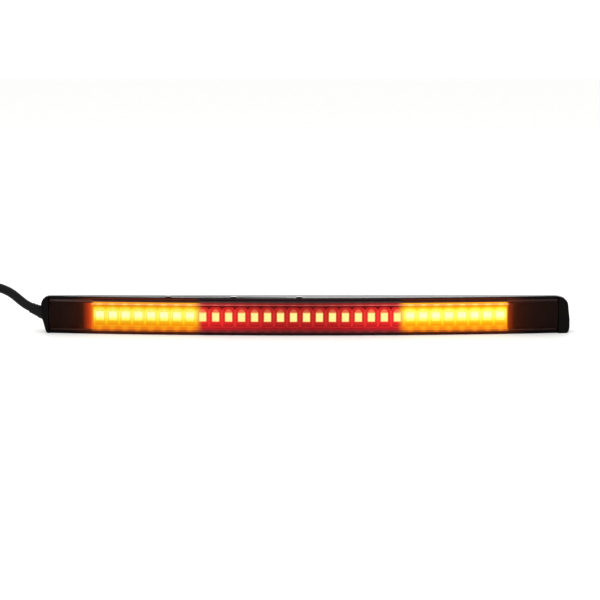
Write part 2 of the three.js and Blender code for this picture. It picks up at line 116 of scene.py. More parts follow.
HANK_LAPS = 2
POINTS_PER_LAP = 32
SLEEVE = {"start": -163.4, "end": -173.0, "radius": 1.95, "z": 10.35}
LEAD_TAIL = ((-164.9, 5.5, 9.95), (-166.8, 5.5, 10.2))
TIE = {"band": 0.6, "gap": 0.2, "bottom": 0.05, "reach": 1.85}
FOLD_TIE_X = -168.5
MIDDLE_TIE = {"x": -185.0, "top": 8.25}
WIRE_RADIUS = 0.6
STRAND_RADIUS = 0.38
# Each wire: name, slot, how far aside it leaves the sleeve, its height there and where it
# rests, how far aside its tip is, and its colour.
WIRES = (
    ("ground", "wire_black", -0.75, 9.6, 8.65, -2.6, "15171a"),
    ("brake", "wire_red", 0.75, 9.6, 8.65, 2.2, "b01c1c"),
    ("left", "wire_yellow", -0.75, 10.9, 9.75, -1.0, "d9b21a"),
    ("right", "wire_green", 0.75, 10.9, 9.75, 0.8, "2c7a3e"),
)

CAMERA_AIM = (-0.0021, -0.005, 0.01355)  # metres


# ---- Colour and nodes ----
SMOOTH = {"interpolation_type": "SMOOTHSTEP"}


def linear(hex_colour):
    """Turns an sRGB hex colour to linear red, green, blue and alpha."""
    parts = [int(hex_colour[i:i + 2], 16) / 255 for i in (0, 2, 4)]
    return tuple(p / 12.92 if p <= 0.04045 else ((p + 0.055) / 1.055) ** 2.4 for p in parts) + (1.0,)


def add_node(tree, kind, inputs=None, stops=None, **settings):
    """Adds a node, sets its properties and ramp stops, then sets or links its usable inputs."""
    node = tree.nodes.new(kind)
    for name, value in settings.items():
        setattr(node, name, value)
    if stops:
        ramp = node.color_ramp
        while len(ramp.elements) < len(stops):
            ramp.elements.new(1.0)
        for element, (position, colour) in zip(ramp.elements, stops):
            element.position = position
            element.color = linear(colour)
    usable = [socket for socket in node.inputs if socket.enabled]
    for key, value in (inputs or {}).items():
        socket = usable[key] if isinstance(key, int) else node.inputs[key]
        if isinstance(value, bpy.types.Node):
            value = next(out for out in value.outputs if out.enabled)
        if isinstance(value, bpy.types.NodeSocket):
            tree.links.new(value, socket)
        else:
            socket.default_value = value
    return node


def new_material(name, **constants):
    """Makes a node material whose shader has these constants: the material, its tree, its shader."""
    material = bpy.data.materials.new(name)
    material.use_nodes = True
    tree = material.node_tree
    tree.nodes.clear()
    shader = add_node(tree, "ShaderNodeBsdfPrincipled")
    for key, value in constants.items():
        shader.inputs[key.replace("_", " ")].default_value = value
    add_node(tree, "ShaderNodeOutputMaterial", {"Surface": shader})
    return material, tree, shader


def feed(tree, shader, **sources):
    """Links each node to the shader's input of that name, written with _ for a space."""
    for key, source in sources.items():
        value = next(out for out in source.outputs if out.enabled)
        tree.links.new(value, shader.inputs[key.replace("_", " ")])


def place_mm(tree, stretch=(1, 1, 1)):
    """The point on the piece in millimetres, stretched for a drawn-out grain."""
    place = add_node(tree, "ShaderNodeTexCoord")
    scale = tuple(1000 * s for s in stretch)
    return add_node(tree, "ShaderNodeMapping", {0: place.outputs["Object"], "Scale": scale})


def grain(tree, shader, size, depth, colours, roughness, stretch=(1, 1, 1)):
    """Mottles colour and roughness and raises a bump from one noise with grains of this many mm."""
    place = place_mm(tree, stretch)
    noise = add_node(tree, "ShaderNodeTexNoise", {"Vector": place, "Scale": 1 / size, "Detail": 3.0})
    tint = add_node(tree, "ShaderNodeValToRGB", {0: noise}, stops=((0.3, colours[0]), (0.7, colours[1])))
    low, high = roughness
    gloss = add_node(tree, "ShaderNodeMapRange", {0: noise, 1: 0.3, 2: 0.7, 3: low, 4: high})
    bump = add_node(tree, "ShaderNodeBump", {"Height": noise, "Distance": depth * MM, "Strength": 1.0})
    feed(tree, shader, Base_Color=tint, Roughness=gloss, Normal=bump)


# ---- The glow: the lamps' own glow, and the glow painted on the parts they light, take their pattern from the row ----
def row_pattern(tree):
    """Millimetres beside the nearest lamp, height, and how far along the row and from its middle."""
    place = add_node(tree, "ShaderNodeSeparateXYZ", {0: place_mm(tree)})
    along = add_node(tree, "ShaderNodeMath", {0: place.outputs["X"], 1: ROW_X}, operation="SUBTRACT")
    # Two lamps meet where this wave is zero, and a lamp's middle is at its crest.
    wave = add_node(tree, "ShaderNodeMath", {0: along, 1: LAMP_PITCH / 2}, operation="PINGPONG")
    beside = add_node(tree, "ShaderNodeMath", {0: LAMP_PITCH / 2, 1: wave}, operation="SUBTRACT")
    apart = add_node(tree, "ShaderNodeMath", {0: along}, operation="ABSOLUTE")
    return beside, place.outputs["Z"], apart, along


def amber_share(tree, apart):
    """0 among the red lamps, 1 among the amber ones."""
    return add_node(
        tree, "ShaderNodeMapRange", {0: apart, 1: AMBER_FROM - 2.6, 2: AMBER_FROM + 0.9}, **SMOOTH,
    )


def lit_share(tree, apart, along):
    """1 along the lamps, 0 past the last one, a little lower mid-row and brighter to the right."""
    ends = add_node(
        tree, "ShaderNodeMapRange", {0: apart, 1: ROW_REACH - 0.4, 2: ROW_REACH + 1.0, 3: 1.0, 4: 0.0},
        **SMOOTH,
    )
    middle = add_node(tree, "ShaderNodeMapRange", {0: apart, 1: 4.0, 2: 36.0, 3: 0.62, 4: 1.0}, **SMOOTH)
    lean = add_node(tree, "ShaderNodeMapRange", {0: along, 1: -80.0, 2: 80.0, 3: 0.9, 4: 1.12})
    share = add_node(tree, "ShaderNodeMath", {0: ends, 1: middle}, operation="MULTIPLY")
    return add_node(tree, "ShaderNodeMath", {0: share, 1: lean}, operation="MULTIPLY")


def by_height(tree, z, low, high, stops):
    """A colour ramp over the heights from low to high, in millimetres."""
    share = add_node(tree, "ShaderNodeMapRange", {0: z, 1: low, 2: high})
    placed = tuple(((at - low) / (high - low), colour) for at, colour in stops)
    return add_node(tree, "ShaderNodeValToRGB", {0: share}, stops=placed)


def red_or_gold(tree, apart, red, gold):
    """One colour among the red lamps and the other among the amber ones."""
    return add_node(tree, "ShaderNodeMix", {0: amber_share(tree, apart), 1: red, 2: gold}, data_type="RGBA")


# ---- Finishes ----
def moulded_abs():
    # Injection-moulded black ABS with a spark-eroded texture: matte, a pale sheen when seen low.
    material, tree, shader = new_material("moulded_black_abs", IOR=1.54, Specular_IOR_Level=0.035)
    # Grains of 0.12 mm are too fine to show, so they are drawn at 0.45 mm.
    grain(tree, shader, 0.45, 0.03, ("060505", "0c0a09"), (0.3, 0.42))
    _, z, apart, _ = row_pattern(tree)
    # Painted glow: emission on the long lips above and below the lens stands in for the light its lit edges
    # cast on them.
    red = by_height(tree, z, 0.0, 14.5, (
        (0.0, "0c0202"), (0.5, "200508"), (0.95, "3a0d10"), (1.2, "000000"),
        (13.4, "000000"), (13.5, "241014"), (14.1, "2e1c20"), (14.45, "180c10"),
    ))
    gold = by_height(tree, z, 0.0, 14.5, (
        (0.0, "1c0401"), (0.5, "3c1004"), (0.95, "6a2408"), (1.2, "000000"),
        (13.4, "000000"), (13.5, "6c2812"), (13.8, "58220e"), (14.1, "401a0c"), (14.45, "20100a"),
    ))
    tint = red_or_gold(tree, apart, red, gold)
    outward = add_node(tree, "ShaderNodeNewGeometry").outputs["Normal"]
    outward = add_node(tree, "ShaderNodeSeparateXYZ", {0: outward})
    facing = add_node(
        tree, "ShaderNodeMapRange", {0: outward.outputs["Y"], 1: -0.3, 2: -0.9, 3: 0.0, 4: 1.0},
    )
    painted_spill_fade = add_node(
        tree, "ShaderNodeMapRange", {0: apart, 1: ROW_REACH - 5.0, 2: ROW_REACH + 9.0, 3: 0.95, 4: 0.0},
        **SMOOTH,
    )
    strength = add_node(tree, "ShaderNodeMath", {0: facing, 1: painted_spill_fade}, operation="MULTIPLY")
    feed(tree, shader, Emission_Color=tint, Emission_Strength=strength)
    return material


def smoked_polycarbonate(colours, edge=False):
    # Polished polycarbonate dyed with dark smoke: a black gloss until something behind it is lit.
    # Each face lets through what the dye does over half the plate; the moulded edges, nothing.
    material, tree, shader = new_material(
        "smoked_polycarbonate_edge" if edge else "smoked_polycarbonate", IOR=1.585,
        Alpha=1.0 if edge else colours.lens_cover, Roughness=0.12 if edge else 0.04,
        Specular_IOR_Level=0.12 if edge else 0.035, Base_Color=tuple(colours.lens_tint) + (1.0,),
    )
    beside, z, apart, along = row_pattern(tree)
    # Painted glow: emission stands in for the light the long edges pipe, a bright line along the face's top
    # edge and fainter ones elsewhere; in the red part the top bevel's ridge carries a greyish painted
    # highlight.
    red = by_height(tree, z, 1.0, 13.5, (
        (1.1, "7c2426"), (1.3, "8c2c2c"), (1.6, "701c20"), (2.0, "5a1014"), (2.5, "000000"),
        (11.5, "000000"), (11.58, "b03c3a"), (11.66, "f07c74"), (11.84, "e06c66"), (11.94, "280406"),
        (12.4, "240808"), (12.7, "3c2426"), (12.85, "503436"), (13.0, "301618"), (13.25, "100304"),
        (13.4, "000000"),
    ))
    gold = by_height(tree, z, 1.0, 13.5, (
        (1.1, "9c4206"), (1.4, "c0640c"), (1.7, "c0640c"), (2.0, "a84c04"), (2.5, "000000"),
        (11.5, "000000"), (11.58, "d87420"), (11.66, "ffe8b4"), (11.8, "ffd8a0"), (11.9, "6c2406"),
        (12.4, "5a1c06"), (12.8, "3c0c04"), (13.0, "300802"), (13.25, "2c0802"), (13.4, "2c0802"),
    ))
    colour = red_or_gold(tree, apart, red, gold)
    # Painted glow: brighter opposite each lamp, dimmer between them.
    painted_beads = add_node(tree, "ShaderNodeMapRange", {0: beside, 1: 0.2, 2: 1.7, 3: 1.3, 4: 0.85}, **SMOOTH)
    strength = add_node(
        tree, "ShaderNodeMath", {0: painted_beads, 1: lit_share(tree, apart, along)}, operation="MULTIPLY",
    )
    # Painted glow: past the last lamps a red-brown haze, standing in for light the dye scatters, dies away
    # over a centimetre.
    away = add_node(tree, "ShaderNodeMath", {0: apart, 1: ROW_REACH + 0.2}, operation="SUBTRACT")
    decay = add_node(tree, "ShaderNodeMath", {0: away, 1: -4.6}, operation="DIVIDE")
    decay = add_node(tree, "ShaderNodeMath", {0: decay}, operation="EXPONENT")
    outside = add_node(tree, "ShaderNodeMapRange", {0: away, 1: -0.8, 2: 0.6}, **SMOOTH)
    painted_halo = add_node(tree, "ShaderNodeMath", {0: decay, 1: outside}, operation="MULTIPLY")
    painted_halo = add_node(tree, "ShaderNodeMath", {0: painted_halo, 1: 0.65}, operation="MULTIPLY")
    total = add_node(tree, "ShaderNodeMath", {0: strength, 1: painted_halo}, operation="ADD")
    share = add_node(tree, "ShaderNodeMath", {0: painted_halo, 1: total}, operation="DIVIDE")
    colour = add_node(tree, "ShaderNodeMix", {0: share, 1: colour, 2: linear("6e2600")}, data_type="RGBA")
    feed(tree, shader, Emission_Color=colour, Emission_Strength=total)
    return material


def lamp_pocket_glow(tree, pattern, gain, red_stops, gold_stops):
    """Colour and strength of the glow painted behind the lens, by height, in the red and amber parts of the
    row.
    """
    _, z, apart, along = pattern
    low, high = gold_stops[0][0], gold_stops[-1][0]
    red = by_height(tree, z, low, high, red_stops)
    gold = by_height(tree, z, low, high, gold_stops)
    lit = lit_share(tree, apart, along)
    strength = add_node(tree, "ShaderNodeMath", {0: lit, 1: gain}, operation="MULTIPLY")
    return red_or_gold(tree, apart, red, gold), strength


def lit_reflector(colours, rim=False):
    # Glossy red moulded divider; the light of the lamps in its pockets is painted on it as glow.
    name = "pocket_rim_painted_glow" if rim else "pocket_plate_painted_glow"
    material, tree, shader = new_material(name, IOR=1.5, Roughness=0.4, Base_Color=linear("7a0d0c"))
    if rim:
        # The rounded pocket rims take a brighter painted glow than the plate's face.
        red_stops = ((2.6, "b0181c"), (3.4, "ff3034"), (6.7, "ff3430"), (9.6, "ff403c"), (10.4, "e83430"))
    else:
        red_stops = (
            (1.8, "a81c26"), (2.6, "b8141e"), (3.2, "b00c18"), (6.7, "b8060c"), (9.6, "a00408"),
            (10.4, "7c0204"), (11.6, "680608"),
        )
    gold_stops = (
        (1.8, "f0780c"), (2.6, "f48806"), (3.4, "fca406"), (4.4, "fdc60a"), (5.4, "ffe430"),
        (6.2, "fff650"), (8.0, "fffc62"), (8.9, "fff448"), (9.6, "ffdc1e"), (10.2, "ffc00c"),
        (10.8, "f29606"), (11.6, "d06806"),
    )
    gain = colours.glow_gain
    pattern = beside, _, apart, along = row_pattern(tree)
    colour, strength = lamp_pocket_glow(tree, pattern, gain, red_stops, gold_stops)
    # Painted glow: amber light fans out of each pocket in an upright stripe.
    painted_streak = add_node(tree, "ShaderNodeMapRange", {0: beside, 1: 0.2, 2: 1.9, 3: 0.3, 4: 0.0}, **SMOOTH)
    amber = amber_share(tree, apart)
    painted_streak = add_node(tree, "ShaderNodeMath", {0: painted_streak, 1: amber}, operation="MULTIPLY")
    colour = add_node(tree, "ShaderNodeMix", {0: painted_streak, 1: colour, 2: linear("ffcc24")}, data_type="RGBA")
    # Painted glow: the blank stretch past the last left pocket glows orange, and dimmer away from the
    # lamps.
    away = add_node(tree, "ShaderNodeMapRange", {0: apart, 1: ROW_REACH, 2: ROW_REACH + 4.0})
    dull = add_node(
        tree, "ShaderNodeValToRGB", {0: away},
        stops=((0.0, "f88a10"), (0.2, "d0480a"), (0.45, "a02e08"), (0.75, "681806"), (1.0, "481004")),
    )
    past = add_node(tree, "ShaderNodeMapRange", {0: apart, 1: ROW_REACH - 0.6, 2: ROW_REACH + 0.3})
    colour = add_node(tree, "ShaderNodeMix", {0: past, 1: colour, 2: dull}, data_type="RGBA")
    fade = add_node(
        tree, "ShaderNodeMapRange",
        {0: along, 1: ROW_REACH - 0.2, 2: ROW_REACH + 0.6, 3: gain, 4: gain * 0.25},
    )
    dulled = add_node(tree, "ShaderNodeMath", {0: past, 1: fade}, operation="MULTIPLY")
    strength = add_node(tree, "ShaderNodeMath", {0: strength, 1: dulled}, operation="MAXIMUM")
    feed(tree, shader, Emission_Color=colour, Emission_Strength=strength)
    return material


def lit_board(colours):
    # Black solder mask on glass-fibre board; the light of the lamps that stand on it is painted on as glow.
    material, tree, shader = new_material(
        "black_solder_mask", IOR=1.5, Roughness=0.45, Base_Color=linear("17110f"),
    )
    red_stops = (
        (2.6, "a01218"), (3.4, "c81c1e"), (4.6, "e82426"), (8.6, "e02020"), (9.6, "d81418"),
        (10.6, "a80c10"),
    )
    gold_stops = (
        (2.6, "ee8206"), (3.6, "f9a006"), (4.4, "fbba0e"), (5.2, "ffdc3c"), (6.2, "fff668"),
        (8.4, "fff96c"), (9.0, "fff04a"), (9.6, "fede26"), (10.1, "fbc410"), (10.6, "ffae12"),
    )
    pattern = beside, z, apart, _ = row_pattern(tree)
    colour, strength = lamp_pocket_glow(tree, pattern, colours.glow_gain, red_stops, gold_stops)
    # Painted highlight: a pale curve over each lamp stands in for where it lights the round top of its
    # pocket.
    wide = add_node(tree, "ShaderNodeMath", {0: beside, 1: 1.5}, operation="DIVIDE")
    high = add_node(tree, "ShaderNodeMath", {0: z, 1: 8.5}, operation="SUBTRACT")
    high = add_node(tree, "ShaderNodeMath", {0: high, 1: 1.4}, operation="DIVIDE")
    spread = add_node(tree, "ShaderNodeCombineXYZ", {0: wide, 1: high})
    reach = add_node(tree, "ShaderNodeVectorMath", {0: spread}, operation="LENGTH")
    painted_arch = add_node(
        tree, "ShaderNodeMapRange", {0: reach.outputs["Value"], 1: 0.6, 2: 1.0, 3: 0.9, 4: 0.0}, **SMOOTH,
    )
    amber = amber_share(tree, apart)
    pale = add_node(
        tree, "ShaderNodeMix", {0: amber, 1: linear("ff7452"), 2: linear("fff566")}, data_type="RGBA",
    )
    colour = add_node(tree, "ShaderNodeMix", {0: painted_arch, 1: colour, 2: pale}, data_type="RGBA")
    feed(tree, shader, Emission_Color=colour, Emission_Strength=strength)
    return material


def lit_package(colours, amber, window):
    # White reflector-cup package, or the clear resin sunk in it over the glowing chip.
    kind = "amber" if amber else "red"
    part = "resin_window" if window else "package"
    material, tree, shader = new_material(
        f"{kind}_lamp_{part}", IOR=1.5, Roughness=0.25 if window else 0.5, Base_Color=linear("ded6c4"),
    )
    beside, z, _, along = row_pattern(tree)
    if amber:
        ramp = by_height(tree, z, 4.9, 8.5, (
            (4.95, "ffd42c"), (5.4, "ffec4c"), (6.0, "fffb84"), (6.8, "fffdc4"), (7.8, "fffdc4"),
            (8.45, "fffb9c"),
        ))
    else:
        off = add_node(tree, "ShaderNodeMath", {0: z, 1: ROW_Z}, operation="SUBTRACT")
        high = add_node(tree, "ShaderNodeMath", {0: off, 1: LAMP["height"] / 2}, operation="DIVIDE")
        high = add_node(tree, "ShaderNodeMath", {0: high}, operation="ABSOLUTE")
        wide = add_node(tree, "ShaderNodeMath", {0: beside, 1: LAMP["width"] / 2}, operation="DIVIDE")
        reach = add_node(tree, "ShaderNodeMath", {0: high, 1: wide}, operation="MAXIMUM")
        ramp = add_node(
            tree, "ShaderNodeValToRGB", {0: reach},
            stops=((0.0, "fff6a0"), (0.72, "fff092"), (0.9, "ffe284"), (1.0, "f49a58")),
        )
    gain = colours.glow_gain
    dim = 1.0 if window else 0.92
    low, high = gain * 0.95 * dim, gain * 1.04 * dim
    strength = add_node(tree, "ShaderNodeMapRange", {0: along, 1: -80.0, 2: 80.0, 3: low, 4: high})
    feed(tree, shader, Emission_Color=ramp, Emission_Strength=strength)
    return material


def soft_black(name, low, high, roughness, size, depth, stretch=(1, 1, 1)):
    # Carbon-filled polymer: near black, with the faint mottle and drag marks of its making.
    material, tree, shader = new_material(name, IOR=1.5, Specular_IOR_Level=0.12)
    grain(tree, shader, size, depth, (low, high), roughness, stretch)
    return material


def dyed_pvc(name, colour):
    # Extruded dyed PVC insulation: even colour, soft gloss, faint lengthwise die lines.
    material, tree, shader = new_material(name, IOR=1.53)
    place = place_mm(tree, (0.15, 1, 1))
    noise = add_node(tree, "ShaderNodeTexNoise", {"Vector": place, "Scale": 2.5, "Detail": 2.0})
    shade = add_node(
        tree, "ShaderNodeMix", {0: noise, 1: colour, 2: tuple(c * 0.6 for c in colour[:3]) + (1.0,)},
        data_type="RGBA",
    )
    gloss = add_node(tree, "ShaderNodeMapRange", {0: noise, 3: 0.28, 4: 0.45})
    feed(tree, shader, Base_Color=shade, Roughness=gloss)
    return material


def tinned_copper():
    # Stranded copper dipped in solder: soft silver with twisted ridges.
    material, tree, shader = new_material("tinned_copper", Metallic=1.0, Base_Color=linear("c4c6c4"))
    place = place_mm(tree, (0.5, 1, 1))
    noise = add_node(tree, "ShaderNodeTexNoise", {"Vector": place, "Scale": 3.0, "Detail": 2.0})
    gloss = add_node(tree, "ShaderNodeMapRange", {0: noise, 3: 0.22, 4: 0.5})
    bump = add_node(tree, "ShaderNodeBump", {"Height": noise, "Distance": 0.05 * MM})
    feed(tree, shader, Roughness=gloss, Normal=bump)
    return material


def acrylic_foam():
    # Closed-cell acrylic foam, slit at its edges: grey, dead matte, with pin-prick cells.
    material, tree, shader = new_material("acrylic_foam", IOR=1.48, Roughness=0.92)
    place = place_mm(tree)
    cells = add_node(tree, "ShaderNodeTexVoronoi", {"Vector": place, "Scale": 3.3}).outputs["Distance"]
    tint = add_node(tree, "ShaderNodeValToRGB", {0: cells}, stops=((0.1, "303236"), (0.6, "54575c")))
    bump = add_node(tree, "ShaderNodeBump", {"Height": cells, "Distance": 0.08 * MM})
    feed(tree, shader, Base_Color=tint, Normal=bump)
    return material


def release_film():
    # Red polyethylene release film: smooth and waxy, with a soft ripple where it lies on the foam.
    material, tree, shader = new_material("red_release_film", IOR=1.51, Specular_IOR_Level=0.2)
    place = place_mm(tree, (0.25, 1, 1))
    ripple = add_node(tree, "ShaderNodeTexNoise", {"Vector": place, "Scale": 0.22, "Detail": 2.0})
    fine = add_node(tree, "ShaderNodeTexNoise", {"Vector": place, "Scale": 2.2, "Detail": 3.0})
    tint = add_node(tree, "ShaderNodeValToRGB", {0: fine}, stops=((0.3, "6c0a08"), (0.7, "7e0f0b")))
    gloss = add_node(tree, "ShaderNodeMapRange", {0: fine, 3: 0.24, 4: 0.42})
    bump = add_node(tree, "ShaderNodeBump", {"Height": ripple, "Distance": 0.5 * MM, "Strength": 0.6})
    feed(tree, shader, Base_Color=tint, Roughness=gloss, Normal=bump)
    return material


def studio_paint():
    # Matte white painted floor with the faintest roller mottle.
    material, tree, shader = new_material("studio_paint", Roughness=0.85, Specular_IOR_Level=0.2)
    place = place_mm(tree)
    noise = add_node(tree, "ShaderNodeTexNoise", {"Vector": place, "Scale": 0.05, "Detail": 2.0})
    tint = add_node(tree, "ShaderNodeValToRGB", {0: noise}, stops=((0.3, "f6f6f5"), (0.7, "f9f9f8")))
    feed(tree, shader, Base_Color=tint)
    return material


# ---- Modelling ----
def front_y(x, depth):
    return FRONT_MID_Y + depth + FRONT_RADIUS - math.sqrt(FRONT_RADIUS ** 2 - x * x)


def bow(bm):
    """Turns straight work, whose y is a depth behind the front, to the bar's bowed front."""
    for vert in bm.verts:
        vert.co.y = front_y(vert.co.x, vert.co.y)


def verts_in(made):
    return [item for item in made if isinstance(item, bmesh.types.BMVert)]


def grow(bm, faces, way, keep=False):
    """Extrudes faces and moves the new ones; an open sheet keeps its old faces as its far side."""
    made = bmesh.ops.extrude_face_region(bm, geom=faces)["geom"]
    bmesh.ops.translate(bm, verts=verts_in(made), vec=way)
    if not keep:
        bmesh.ops.delete(bm, geom=faces, context="FACES")
    return [item for item in made if isinstance(item, bmesh.types.BMFace)]


def slice_at(bm, axis, positions):
    for at in positions:
        point = Vector((0, 0, 0))
        normal = Vector((0, 0, 0))
        point[axis] = at
        normal[axis] = 1
        everything = bm.verts[:] + bm.edges[:] + bm.faces[:]
        bmesh.ops.bisect_plane(bm, geom=everything, dist=1e-5, plane_co=point, plane_no=normal)


def evenly(left, right, count):
    return [left + (right - left) * i / count for i in range(1, count)]


def round_edges(bm, edges, width, segments=2):
    return bmesh.ops.bevel(
        bm, geom=edges, offset=width, offset_type="OFFSET", affect="EDGES", segments=segments,
        profile=0.5, material=-1, clamp_overlap=True,
    )["faces"]


def sharp_edges(bm, degrees=30):
    limit = math.radians(degrees)
    return [e for e in bm.edges if len(e.link_faces) == 2 and e.calc_face_angle() > limit]


def loop_of(bm, corners, radii, segments=4):
    """A closed outline through these corners, each rounded by its own radius."""
    older = set(bm.edges)
    verts = [bm.verts.new(corner) for corner in corners]
    for i in range(len(verts)):
        bm.edges.new((verts[i - 1], verts[i]))
    for vert, radius in zip(verts, radii):
        if radius > 0:
            bmesh.ops.bevel(
                bm, geom=[vert], offset=radius, offset_type="OFFSET", affect="VERTICES",
                segments=segments, profile=0.5, material=-1, clamp_overlap=True,
            )
    return [edge for edge in bm.edges if edge not in older]


def ring_between(bm, outer, outer_radii, inner, inner_radii, segments):
    """The flat ring between two rounded outlines."""
    edges = loop_of(bm, outer, outer_radii, segments) + loop_of(bm, inner, inner_radii, segments)
    bmesh.ops.bridge_loops(bm, edges=edges)


def window(left, right, bottom, top, y):
    """The corners of a rectangle that faces along Y."""
    return ((left, y, bottom), (right, y, bottom), (right, y, top), (left, y, top))


def add_block(bm, size, place=(0, 0, 0)):
    """Adds a block of this size at this place, and returns its faces."""
    verts = bmesh.ops.create_cube(bm, size=1.0)["verts"]
    bmesh.ops.scale(bm, verts=verts, vec=size)
    bmesh.ops.translate(bm, verts=verts, vec=place)
    return list({face for vert in verts for face in vert.link_faces})


def spun(section, axis, steps):
    """A closed section turned once round an axis through the origin."""
    bm = bmesh.new()
    verts = [bm.verts.new(point) for point in section]
    edges = [bm.edges.new((verts[i], verts[(i + 1) % len(verts)])) for i in range(len(verts))]
    bmesh.ops.spin(
        bm, geom=verts + edges, cent=(0, 0, 0), axis=axis, angle=math.tau, steps=steps,
        use_merge=True, use_duplicate=False,
    )
    bmesh.ops.recalc_face_normals(bm, faces=bm.faces[:])
    return bm


def set_on_bow(bm, x, depth, z):
    """Moves a small part, made at the origin, to its place and turns it square to the bowed front."""
    place = Matrix.Translation((x, front_y(x, depth), z))
    turn = Matrix.Rotation(math.asin(x / FRONT_RADIUS), 4, "Z")
    bmesh.ops.transform(bm, matrix=place @ turn, verts=bm.verts[:])


def bar_of(section, left, right):
    """A straight bar: a section of depth and height corners, drawn along X."""
    bm = bmesh.new()
    face = bm.faces.new([bm.verts.new((left, depth, z)) for depth, z in section])
    grow(bm, [face], (right - left, 0, 0), keep=True)
    bmesh.ops.recalc_face_normals(bm, faces=bm.faces[:])
    return bm


def flat_strip(left, right, bottom, top, near, far):
    """A round-cornered strip lying in X and Z, from one depth to another."""
    bm = bmesh.new()
    edges = loop_of(bm, window(left, right, bottom, top, near), [CORNER_RADIUS] * 4, 6)
    bmesh.ops.edgeloop_fill(bm, edges=edges)
    grow(bm, bm.faces[:], (0, far - near, 0), keep=True)
    bmesh.ops.recalc_face_normals(bm, faces=bm.faces[:])
    return bm


def add_piece(name, data, nodes):
    """Makes the object, sets it to ride on the root and hides the model parts it stands for."""
    piece = bpy.data.objects.new(name, data)
    bpy.context.scene.collection.objects.link(piece)
    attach(piece, "root")
    if nodes:
        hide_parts(*nodes)
    return piece


def finish_piece(name, bm, materials, nodes=(), smooth=35):
    """Turns the work to metres and makes it a piece, sharp where it turns by more than so many degrees."""
    bmesh.ops.scale(bm, verts=bm.verts[:], vec=(MM, MM, MM))
    mesh = bpy.data.meshes.new(name)
    bm.to_mesh(mesh)
    bm.free()
    for material in materials:
        mesh.materials.append(material)
    mesh.shade_smooth()
    mesh.set_sharp_from_angle(angle=math.radians(smooth))
    return add_piece(name, mesh, nodes)


def round_line(name, points, radius, material, nodes=(), sides=6):
    """A round cord on a smooth line through these points."""
    curve = bpy.data.curves.new(name, "CURVE")
    curve.dimensions = "3D"
    curve.resolution_u = 4
    curve.bevel_depth = radius * MM
    curve.bevel_resolution = sides
    curve.use_fill_caps = True
    spline = curve.splines.new("BEZIER")
    spline.bezier_points.add(len(points) - 1)
    for knot, point in zip(spline.bezier_points, points):
        knot.co = Vector(point) * MM
        knot.handle_left_type = "AUTO"
        knot.handle_right_type = "AUTO"
    curve.materials.append(material)
    return add_piece(name, curve, nodes)


def lap_point(along):
    """A point on the hank this far round one lap, from the near end of the back run."""
    run = HANK["near"] - HANK["far"]
    fold = math.pi * HANK["turn"]
    middle_y = HANK["run_y"] - HANK["turn"]
    lap = 2 * (run + fold)
    turns, along = divmod(along, lap)
    climb = min(max((along - 88) / 40, 0), 1)
    z = HANK["low"] + HANK["layer"] * (turns + climb * climb * (3 - 2 * climb))
    if along < run:
        return (HANK["near"] - along, HANK["run_y"], z)
    if along < run + fold:
        angle = (along - run) / HANK["turn"]
        return (HANK["far"] - HANK["turn"] * math.sin(angle), middle_y + HANK["turn"] * math.cos(angle), z)
    if along < 2 * run + fold:
        return (HANK["far"] + along - run - fold, middle_y - HANK["turn"], z)
    angle = (along - 2 * run - fold) / HANK["turn"]
    return (HANK["near"] + HANK["turn"] * math.sin(angle), middle_y - HANK["turn"] * math.cos(angle), z)


def lead_points():
    lap = 2 * (HANK["near"] - HANK["far"] + math.pi * HANK["turn"])
    steps = HANK_LAPS * POINTS_PER_LAP
    hank = [lap_point(HANK_LAPS * lap * i / steps) for i in range(steps)]
    end = (HANK["near"], HANK["run_y"], HANK["low"] + HANK["layer"] * HANK_LAPS)
    return list(FREE_ROUTE) + hank + [end] + list(LEAD_TAIL)


# ---- Settings ----
class LightBarSizes(PropertyGroup):
    housing_edge: FloatProperty(
        name="Housing edge", description="Rounding of the housing's outer edges",
        default=0.00028, min=0.00005, unit="LENGTH", subtype="DISTANCE",
    )
    lens_edge: FloatProperty(
        name="Lens edge", description="Rounding of the lens's polished edges",
        default=0.00014, min=0.00002, unit="LENGTH", subtype="DISTANCE",
    )
    pocket_rim: FloatProperty(
        name="Pocket rim", description="Width of the bright rim round each lamp pocket",
        default=0.00026, min=0.00005, unit="LENGTH", subtype="DISTANCE",
    )
    lead_diameter: FloatProperty(
        name="Lead diameter", description="Diameter of the lead's outer sheath",
        default=0.0035, min=0.001, unit="LENGTH", subtype="DISTANCE",
    )
    tie_width: FloatProperty(
        name="Tie width", description="Width of the nylon ties round the stored lead",
        default=0.003, min=0.001, unit="LENGTH", subtype="DISTANCE",
    )
    camera_distance: FloatProperty(
        name="Camera distance", description="From the camera to the point it looks at",
        default=0.636, min=0.1, unit="LENGTH", subtype="DISTANCE",
    )
    camera_elevation: FloatProperty(
        name="Camera elevation", description="How far above level the camera looks from",
        default=math.radians(9), unit="ROTATION", subtype="ANGLE",
    )


class LightBarColours(PropertyGroup):
    lens_tint: FloatVectorProperty(
        name="Lens tint", description="The smoke dye in the lens",
        default=linear("180a07")[:3], min=0, max=1, subtype="COLOR",
    )
    lens_cover: FloatProperty(
        name="Lens density", description="How much each face of the lens hides",
        default=0.62, min=0, max=1, subtype="FACTOR",
    )
    glow_gain: FloatProperty(
        name="Lamp strength", description="How strongly the lamps and what they light glow",
        default=6.9, min=0,
    )
    sky: FloatVectorProperty(
        name="Studio light", description="Colour of the soft light all round",
        default=(1.0, 1.0, 1.0), min=0, max=1, subtype="COLOR",
    )
    sky_strength: FloatProperty(
        name="Studio light strength", description="Strength of the soft light all round",
        default=1.05, min=0,
    )


